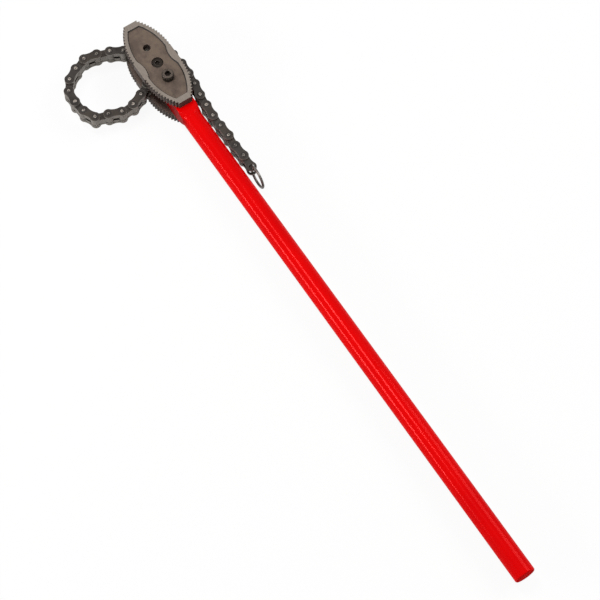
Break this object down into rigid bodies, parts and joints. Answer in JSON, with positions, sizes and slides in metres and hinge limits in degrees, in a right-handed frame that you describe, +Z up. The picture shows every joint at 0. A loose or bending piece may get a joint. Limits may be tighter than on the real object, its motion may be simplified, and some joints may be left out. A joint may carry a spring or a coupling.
{
  "type": "chain pipe wrench",
  "caption": "Long-handled chain pipe wrench: red round bar, a pair of double-ended toothed jaws and a plate chain that loops round the pipe and ends in a pull ring.",
  "frame": {"origin": "axis of the pivot bolt in the middle of the jaws, on the surface that the wrench lies on", "axes": "+X along the handle to its free end, +Y to the side where the chain's free end lies, +Z up through the jaws"},
  "size_m": [0.9441, 0.1686, 0.063],
  "materials": {
    "red_paint": "glossy red paint",
    "forged_steel": "dull forged steel, brown grey",
    "bolt_steel": "oiled black steel",
    "chain_steel": "oiled dark steel",
    "ring_wire": "dull wire"
  },
  "bodies": {
    "frame": {"handle": "red_paint", "chain_seat": "forged_steel", "upper_jaw": "forged_steel", "lower_jaw": "forged_steel", "pivot_bolt": "bolt_steel", "pivot_nut": "bolt_steel", "jaw_bolt": "bolt_steel", "jaw_nut": "bolt_steel", "upper_washer": "bolt_steel", "lower_washer": "bolt_steel"},
    "shackle": {"shackle": "chain_steel"},
    "inner_link_01": {"inner_link_01": "chain_steel"},
    "outer_link_01": {"outer_link_01": "chain_steel"},
    "inner_link_02": {"inner_link_02": "chain_steel"},
    "outer_link_02": {"outer_link_02": "chain_steel"},
    "inner_link_03": {"inner_link_03": "chain_steel"},
    "outer_link_03": {"outer_link_03": "chain_steel"},
    "inner_link_04": {"inner_link_04": "chain_steel"},
    "outer_link_04": {"outer_link_04": "chain_steel"},
    "inner_link_05": {"inner_link_05": "chain_steel"},
    "outer_link_05": {"outer_link_05": "chain_steel"},
    "inner_link_06": {"inner_link_06": "chain_steel"},
    "outer_link_06": {"outer_link_06": "chain_steel"},
    "inner_link_07": {"inner_link_07": "chain_steel"},
    "outer_link_07": {"outer_link_07": "chain_steel"},
    "inner_link_08": {"inner_link_08": "chain_steel"},
    "outer_link_08": {"outer_link_08": "chain_steel"},
    "inner_link_09": {"inner_link_09": "chain_steel"},
    "outer_link_09": {"outer_link_09": "chain_steel"},
    "inner_link_10": {"inner_link_10": "chain_steel"},
    "outer_link_10": {"outer_link_10": "chain_steel"},
    "inner_link_11": {"inner_link_11": "chain_steel"},
    "outer_link_11": {"outer_link_11": "chain_steel"},
    "inner_link_12": {"inner_link_12": "chain_steel"},
    "outer_link_12": {"outer_link_12": "chain_steel"},
    "inner_link_13": {"inner_link_13": "chain_steel"},
    "outer_link_13": {"outer_link_13": "chain_steel"},
    "inner_link_14": {"inner_link_14": "chain_steel"},
    "outer_link_14": {"outer_link_14": "chain_steel"},
    "end_link": {"end_link": "chain_steel"},
    "pull_ring": {"pull_ring": "ring_wire"}
  },
  "joints": [
    {"name": "shackle_pivot", "type": "hinge", "parent": "frame", "child": "shackle", "pos_m": [0, 0, 0.0275], "axis": [0, 0, 1], "range_deg": [0, 12]},
    {"name": "inner_link_01_pin", "type": "hinge", "parent": "shackle", "child": "inner_link_01", "pos_m": [0.01227, -0.02517, 0.0275], "axis": [0, 0, 1], "range_deg": [0, 12]},
    {"name": "outer_link_01_pin", "type": "hinge", "parent": "inner_link_01", "child": "outer_link_01", "pos_m": [0.02167, -0.04145, 0.0275], "axis": [0, 0, 1], "range_deg": [0, 12]},
    {"name": "inner_link_02_pin", "type": "hinge", "parent": "outer_link_01", "child": "inner_link_02", "pos_m": [0.02932, -0.05862, 0.0275], "axis": [0, 0, 1], "range_deg": [0, 13]},
    {"name": "outer_link_02_pin", "type": "hinge", "parent": "inner_link_02", "child": "outer_link_02", "pos_m": [0.03063, -0.07738, 0.0275], "axis": [0, 0, 1], "range_deg": [0, 13]},
    {"name": "inner_link_03_pin", "type": "hinge", "parent": "outer_link_02", "child": "inner_link_03", "pos_m": [0.02359, -0.09481, 0.0275], "axis": [0, 0, 1], "range_deg": [0, 12]},
    {"name": "outer_link_03_pin", "type": "hinge", "parent": "inner_link_03", "child": "outer_link_03", "pos_m": [0.01747, -0.11258, 0.0275], "axis": [0, 0, 1], "range_deg": [0, 46]},
    {"name": "inner_link_04_pin", "type": "hinge", "parent": "outer_link_03", "child": "inner_link_04", "pos_m": [0.00043, -0.12053, 0.0275], "axis": [0, 0, 1], "range_deg": [0, 17]},
    {"name": "outer_link_04_pin", "type": "hinge", "parent": "inner_link_04", "child": "outer_link_04", "pos_m": [-0.01819, -0.12315, 0.0275], "axis": [0, 0, 1], "range_deg": [0, 12]},
    {"name": "inner_link_05_pin", "type": "hinge", "parent": "outer_link_04", "child": "inner_link_05", "pos_m": [-0.03694, -0.12183, 0.0275], "axis": [0, 0, 1], "range_deg": [0, 30]},
    {"name": "outer_link_05_pin", "type": "hinge", "parent": "inner_link_05", "child": "outer_link_05", "pos_m": [-0.05253, -0.11132, 0.0275], "axis": [0, 0, 1], "range_deg": [0, 24]},
    {"name": "inner_link_06_pin", "type": "hinge", "parent": "outer_link_05", "child": "inner_link_06", "pos_m": [-0.06249, -0.09538, 0.0275], "axis": [0, 0, 1], "range_deg": [0, 12]},
    {"name": "outer_link_06_pin", "type": "hinge", "parent": "inner_link_06", "child": "outer_link_06", "pos_m": [-0.06953, -0.07795, 0.0275], "axis": [0, 0, 1], "range_deg": [0, 31]},
    {"name": "inner_link_07_pin", "type": "hinge", "parent": "outer_link_06", "child": "inner_link_07", "pos_m": [-0.06659, -0.05938, 0.0275], "axis": [0, 0, 1], "range_deg": [0, 12]},
    {"name": "outer_link_07_pin", "type": "hinge", "parent": "inner_link_07", "child": "outer_link_07", "pos_m": [-0.06047, -0.0416, 0.0275], "axis": [0, 0, 1], "range_deg": [0, 11]},
    {"name": "inner_link_08_pin", "type": "hinge", "parent": "outer_link_07", "child": "inner_link_08", "pos_m": [-0.05107, -0.02532, 0.0275], "axis": [0, 0, 1], "range_deg": [0, 6]},
    {"name": "outer_link_08_pin", "type": "hinge", "parent": "inner_link_08", "child": "outer_link_08", "pos_m": [-0.04878, -0.00666, 0.0275], "axis": [0, 0, 1], "range_deg": [0, 23]},
    {"name": "inner_link_09_pin", "type": "hinge", "parent": "outer_link_08", "child": "inner_link_09", "pos_m": [-0.03938, 0.00962, 0.0275], "axis": [0, 0, 1], "range_deg": [0, 20]},
    {"name": "outer_link_09_pin", "type": "hinge", "parent": "inner_link_09", "child": "outer_link_09", "pos_m": [-0.02498, 0.0217, 0.0275], "axis": [0, 0, 1], "range_deg": [0, 17]},
    {"name": "inner_link_10_pin", "type": "hinge", "parent": "outer_link_09", "child": "inner_link_10", "pos_m": [-0.00767, 0.02905, 0.0275], "axis": [0, 0, 1], "range_deg": [0, 16]},
    {"name": "outer_link_10_pin", "type": "hinge", "parent": "inner_link_10", "child": "outer_link_10", "pos_m": [0.01099, 0.03134, 0.0275], "axis": [0, 0, 1], "range_deg": [0, 17]},
    {"name": "inner_link_11_pin", "type": "hinge", "parent": "outer_link_10", "child": "inner_link_11", "pos_m": [0.02978, 0.03101, 0.0275], "axis": [0, 0, 1], "range_deg": [0, 20]},
    {"name": "outer_link_11_pin", "type": "hinge", "parent": "inner_link_11", "child": "outer_link_11", "pos_m": [0.04851, 0.02937, 0.0275], "axis": [0, 0, 1], "range_deg": [0, 20]},
    {"name": "inner_link_12_pin", "type": "hinge", "parent": "outer_link_11", "child": "inner_link_12", "pos_m": [0.06703, 0.02611, 0.0275], "axis": [0, 0, 1], "range_deg": [0, 20]},
    {"name": "outer_link_12_pin", "type": "hinge", "parent": "inner_link_12", "child": "outer_link_12", "pos_m": [0.08578, 0.0248, 0.0275], "axis": [0, 0, 1], "range_deg": [0, 20]},
    {"name": "inner_link_13_pin", "type": "hinge", "parent": "outer_link_12", "child": "inner_link_13", "pos_m": [0.10454, 0.02349, 0.0275], "axis": [0, 0, 1], "range_deg": [0, 20]},
    {"name": "outer_link_13_pin", "type": "hinge", "parent": "inner_link_13", "child": "outer_link_13", "pos_m": [0.12333, 0.02382, 0.0275], "axis": [0, 0, 1], "range_deg": [0, 20]},
    {"name": "inner_link_14_pin", "type": "hinge", "parent": "outer_link_13", "child": "inner_link_14", "pos_m": [0.14211, 0.0248, 0.0275], "axis": [0, 0, 1], "range_deg": [0, 20]},
    {"name": "outer_link_14_pin", "type": "hinge", "parent": "inner_link_14", "child": "outer_link_14", "pos_m": [0.16088, 0.02382, 0.0275], "axis": [0, 0, 1], "range_deg": [0, 20]},
    {"name": "end_link_pin", "type": "hinge", "parent": "outer_link_14", "child": "end_link", "pos_m": [0.17964, 0.02513, 0.0275], "axis": [0, 0, 1], "range_deg": [-3, 20]},
    {"name": "pull_ring_swing", "type": "hinge", "parent": "end_link", "child": "pull_ring", "pos_m": [0.19842, 0.02578, 0.0275], "axis": [0, 0, 1], "range_deg": [-6, 60]}
  ]
}
